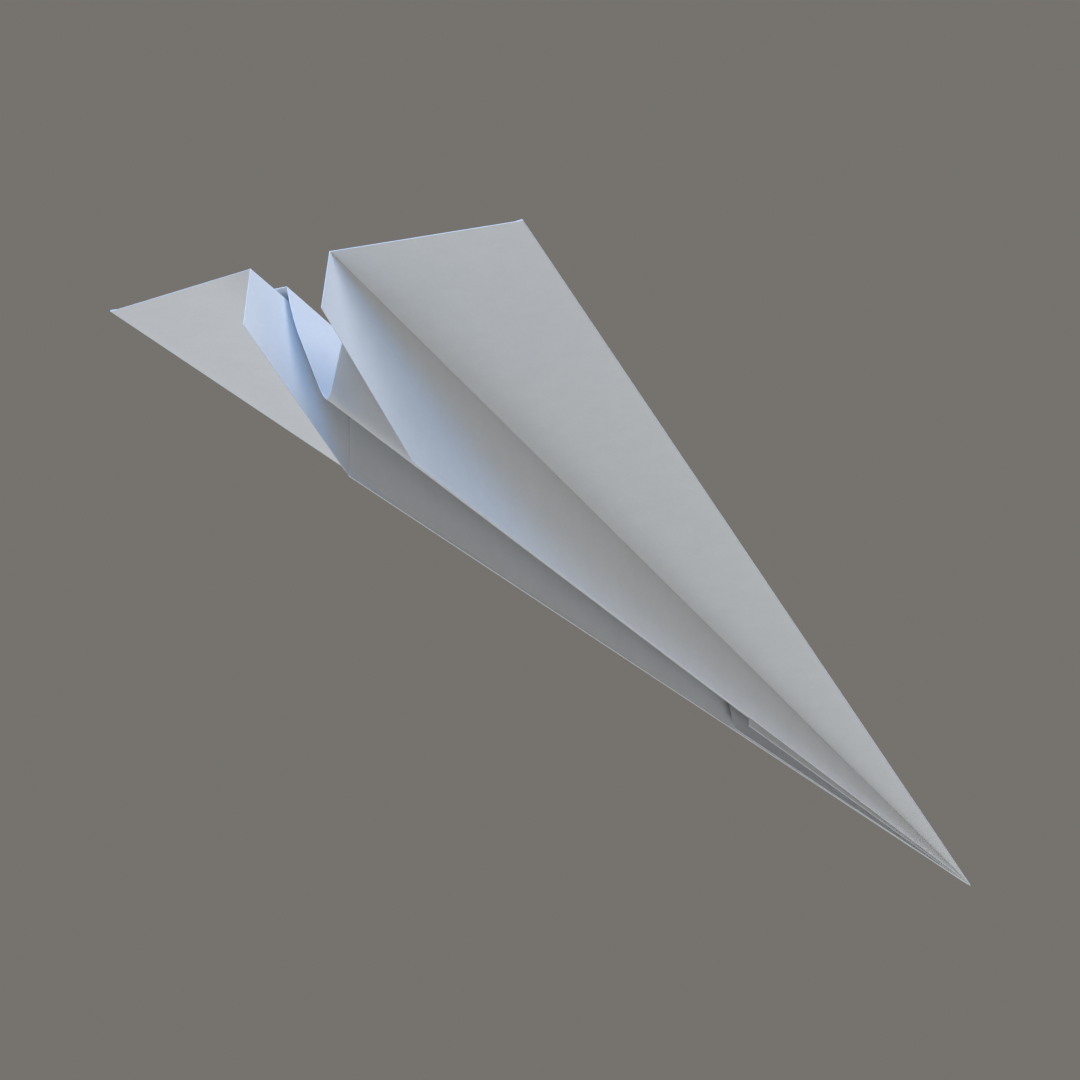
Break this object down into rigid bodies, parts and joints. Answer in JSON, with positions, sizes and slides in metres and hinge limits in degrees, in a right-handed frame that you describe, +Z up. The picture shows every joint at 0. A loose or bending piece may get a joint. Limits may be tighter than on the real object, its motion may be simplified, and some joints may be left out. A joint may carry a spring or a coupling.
{
  "type": "paper airplane",
  "caption": "Narrow paper dart folded from one plain sheet, with an open V body, narrow wings and two hanging lower flaps that it stands on.",
  "frame": {"origin": "middle of the dart seen from above, on the level of the two lower folded edges that it stands on", "axes": "+X from nose to tail, +Y to the dart's right, +Z up"},
  "size_m": [0.3074, 0.0812, 0.0319],
  "materials": {
    "paper": "uncoated white office paper, matt, with faint fibre grain"
  },
  "bodies": {
    "side_right": {"body_side_right": "paper"},
    "wing_right": {"wing_upper_right": "paper", "wing_corner_layer_right": "paper", "wing_lining_right": "paper", "wing_lower_right": "paper"},
    "flap_right": {"flap_corner_layer_right": "paper", "flap_lining_right": "paper", "flap_outer_right": "paper"},
    "side_left": {"body_side_left": "paper"},
    "wing_left": {"wing_upper_left": "paper", "wing_corner_layer_left": "paper", "wing_lining_left": "paper", "wing_lower_left": "paper"},
    "flap_left": {"flap_corner_layer_left": "paper", "flap_lining_left": "paper", "flap_outer_left": "paper"}
  },
  "joints": [
    {"name": "keel_crease", "type": "hinge", "parent": "side_right", "child": "side_left", "pos_m": [-0.1608, 0, 0.00001], "axis": [0.9998, 0, 0.0218], "range_deg": [-30, 30]},
    {"name": "wing_crease_right", "type": "hinge", "parent": "side_right", "child": "wing_right", "pos_m": [-0.1608, 0, 0.00001], "axis": [0.9953, 0.0243, 0.0943], "range_deg": [-40, 20]},
    {"name": "wing_crease_left", "type": "hinge", "parent": "side_left", "child": "wing_left", "pos_m": [-0.1608, 0, 0.00001], "axis": [-0.9953, 0.0243, -0.0943], "range_deg": [-40, 20]},
    {"name": "flap_crease_right", "type": "hinge", "parent": "side_right", "child": "flap_right", "pos_m": [-0.1608, 0, 0.00001], "axis": [0.9953, 0.0243, 0.0943], "range_deg": [-6, 25]},
    {"name": "flap_crease_left", "type": "hinge", "parent": "side_left", "child": "flap_left", "pos_m": [-0.1608, 0, 0.00001], "axis": [-0.9953, 0.0243, -0.0943], "range_deg": [-6, 25]}
  ]
}
